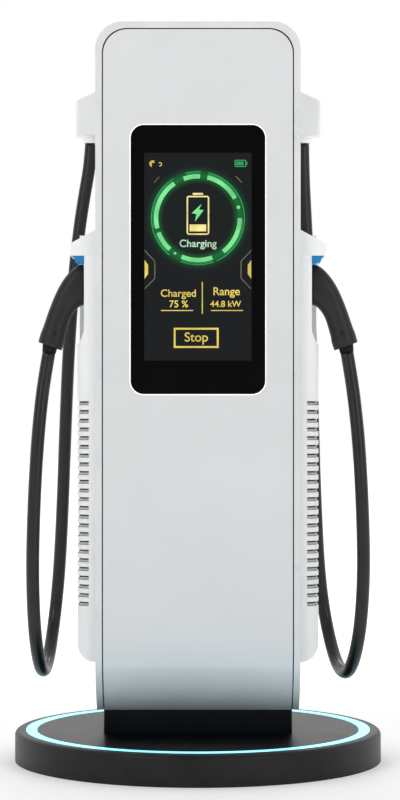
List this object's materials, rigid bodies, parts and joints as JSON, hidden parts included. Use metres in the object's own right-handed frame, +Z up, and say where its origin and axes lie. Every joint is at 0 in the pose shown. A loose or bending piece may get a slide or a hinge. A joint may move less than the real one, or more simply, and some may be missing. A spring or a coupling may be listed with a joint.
{
  "type": "ev charging post",
  "caption": "Free-standing electric vehicle charging post: slim lit-base cabinet with a touch screen, side holsters and a corded connector on each side.",
  "frame": {"origin": "middle of the round base's underside, on the ground", "axes": "+Z up, the screen faces -Y, +X to the right seen from the front"},
  "size_m": [0.93, 0.93, 1.844],
  "materials": {
    "galvanised_steel": "zinc-coated sheet",
    "black_powder_coat": "satin",
    "aluminium_channel": "extruded",
    "lit_acrylic": "lit diffuser",
    "black_gloss": "gloss",
    "zinc_steel": "zinc-plated",
    "white_trim": "satin",
    "white_coat": "satin",
    "black_rubber": "matte",
    "dark_frame": "matte",
    "module_grey": "matte",
    "module_plastic": "moulded",
    "device_green": "moulded",
    "screen_black": "gloss",
    "filter_fibre": "fibre",
    "handle_black": "fine-textured",
    "toggle_red": "moulded",
    "white_moulding": "moulded",
    "blue_lens": "translucent",
    "fan_plastic": "moulded",
    "cable_sheath": "extruded"
  },
  "bodies": {
    "root": {"base_plate": "galvanised_steel", "base_skirt": "black_powder_coat", "ring_light_channel": "aluminium_channel", "ring_light_lens": "lit_acrylic", "base_top_cover": "black_gloss", "base_ribs": "galvanised_steel", "pedestal": "black_gloss", "pedestal_bolts": "zinc_steel", "cabinet_floor": "galvanised_steel", "front_trim": "white_trim", "cabinet_shell": "white_coat", "rear_frame": "white_coat", "front_door_gasket": "black_rubber", "front_door_frame": "dark_frame", "hinge_seats": "zinc_steel", "fan_tray": "galvanised_steel", "right_wing_cover": "white_moulding", "left_wing_cover": "white_moulding", "right_holster_hood": "white_moulding", "left_holster_hood": "white_moulding", "right_holster": "white_moulding", "left_holster": "white_moulding", "right_holster_light": "blue_lens", "left_holster_light": "blue_lens", "right_cable_outlet": "white_moulding", "left_cable_outlet": "white_moulding", "right_cable_gland": "handle_black", "left_cable_gland": "handle_black", "rack_rails": "galvanised_steel", "power_modules": "module_grey", "equipment_plate": "galvanised_steel", "contactors": "module_plastic", "main_breaker": "module_plastic", "control_unit": "module_plastic", "rail_devices": "device_green"},
    "front_door": {"front_door_panel": "white_coat", "front_door_stiffener": "galvanised_steel", "front_hinge_leaves": "zinc_steel", "screen_glass": "screen_black", "display_module": "module_grey", "display_bracket": "galvanised_steel", "card_reader": "module_plastic"},
    "rear_door": {"rear_door_panel": "white_coat", "rear_louvre_hoods": "white_coat", "rear_door_gasket": "black_rubber", "air_filters": "filter_fibre", "rear_hinge_leaves": "zinc_steel", "rear_lock_plate": "zinc_steel"},
    "rear_lock": {"rear_lock_handle": "handle_black"},
    "left_fan": {"left_fan_rotor": "fan_plastic"},
    "right_fan": {"right_fan_rotor": "fan_plastic"},
    "left_connector": {"left_connector_grip": "handle_black", "left_cable_boot": "black_rubber", "left_connector_nose": "handle_black", "left_cable": "cable_sheath"},
    "right_connector": {"right_connector_grip": "handle_black", "right_cable_boot": "black_rubber", "right_connector_nose": "handle_black", "right_cable": "cable_sheath"},
    "breaker_toggle": {"main_breaker_toggle": "toggle_red"}
  },
  "joints": [
    {"name": "front_door_hinge", "type": "hinge", "parent": "root", "child": "front_door", "pos_m": [-0.235, -0.214, 1], "axis": [0, 0, -1], "range_deg": [0, 100]},
    {"name": "rear_door_hinge", "type": "hinge", "parent": "root", "child": "rear_door", "pos_m": [0.239, 0.2504, 1], "axis": [0, 0, -1], "range_deg": [0, 110]},
    {"name": "rear_lock_turn", "type": "hinge", "parent": "rear_door", "child": "rear_lock", "pos_m": [-0.196, 0.25, 0.98], "axis": [0, 1, 0], "range_deg": [0, 90]},
    {"name": "left_fan_spin", "type": "hinge", "parent": "root", "child": "left_fan", "pos_m": [-0.096, 0.19, 1.61], "axis": [0, 1, 0], "continuous": true},
    {"name": "right_fan_spin", "type": "hinge", "parent": "root", "child": "right_fan", "pos_m": [0.096, 0.19, 1.61], "axis": [0, 1, 0], "continuous": true},
    {"name": "left_connector_unplug", "type": "slide", "parent": "root", "child": "left_connector", "axis": [-1, 0, 0], "range_m": [0, 0.064]},
    {"name": "right_connector_unplug", "type": "slide", "parent": "root", "child": "right_connector", "axis": [1, 0, 0], "range_m": [0, 0.064]},
    {"name": "breaker_throw", "type": "hinge", "parent": "root", "child": "breaker_toggle", "pos_m": [0.135, 0.002, 1.185], "axis": [1, 0, 0], "range_deg": [0, 40]}
  ]
}
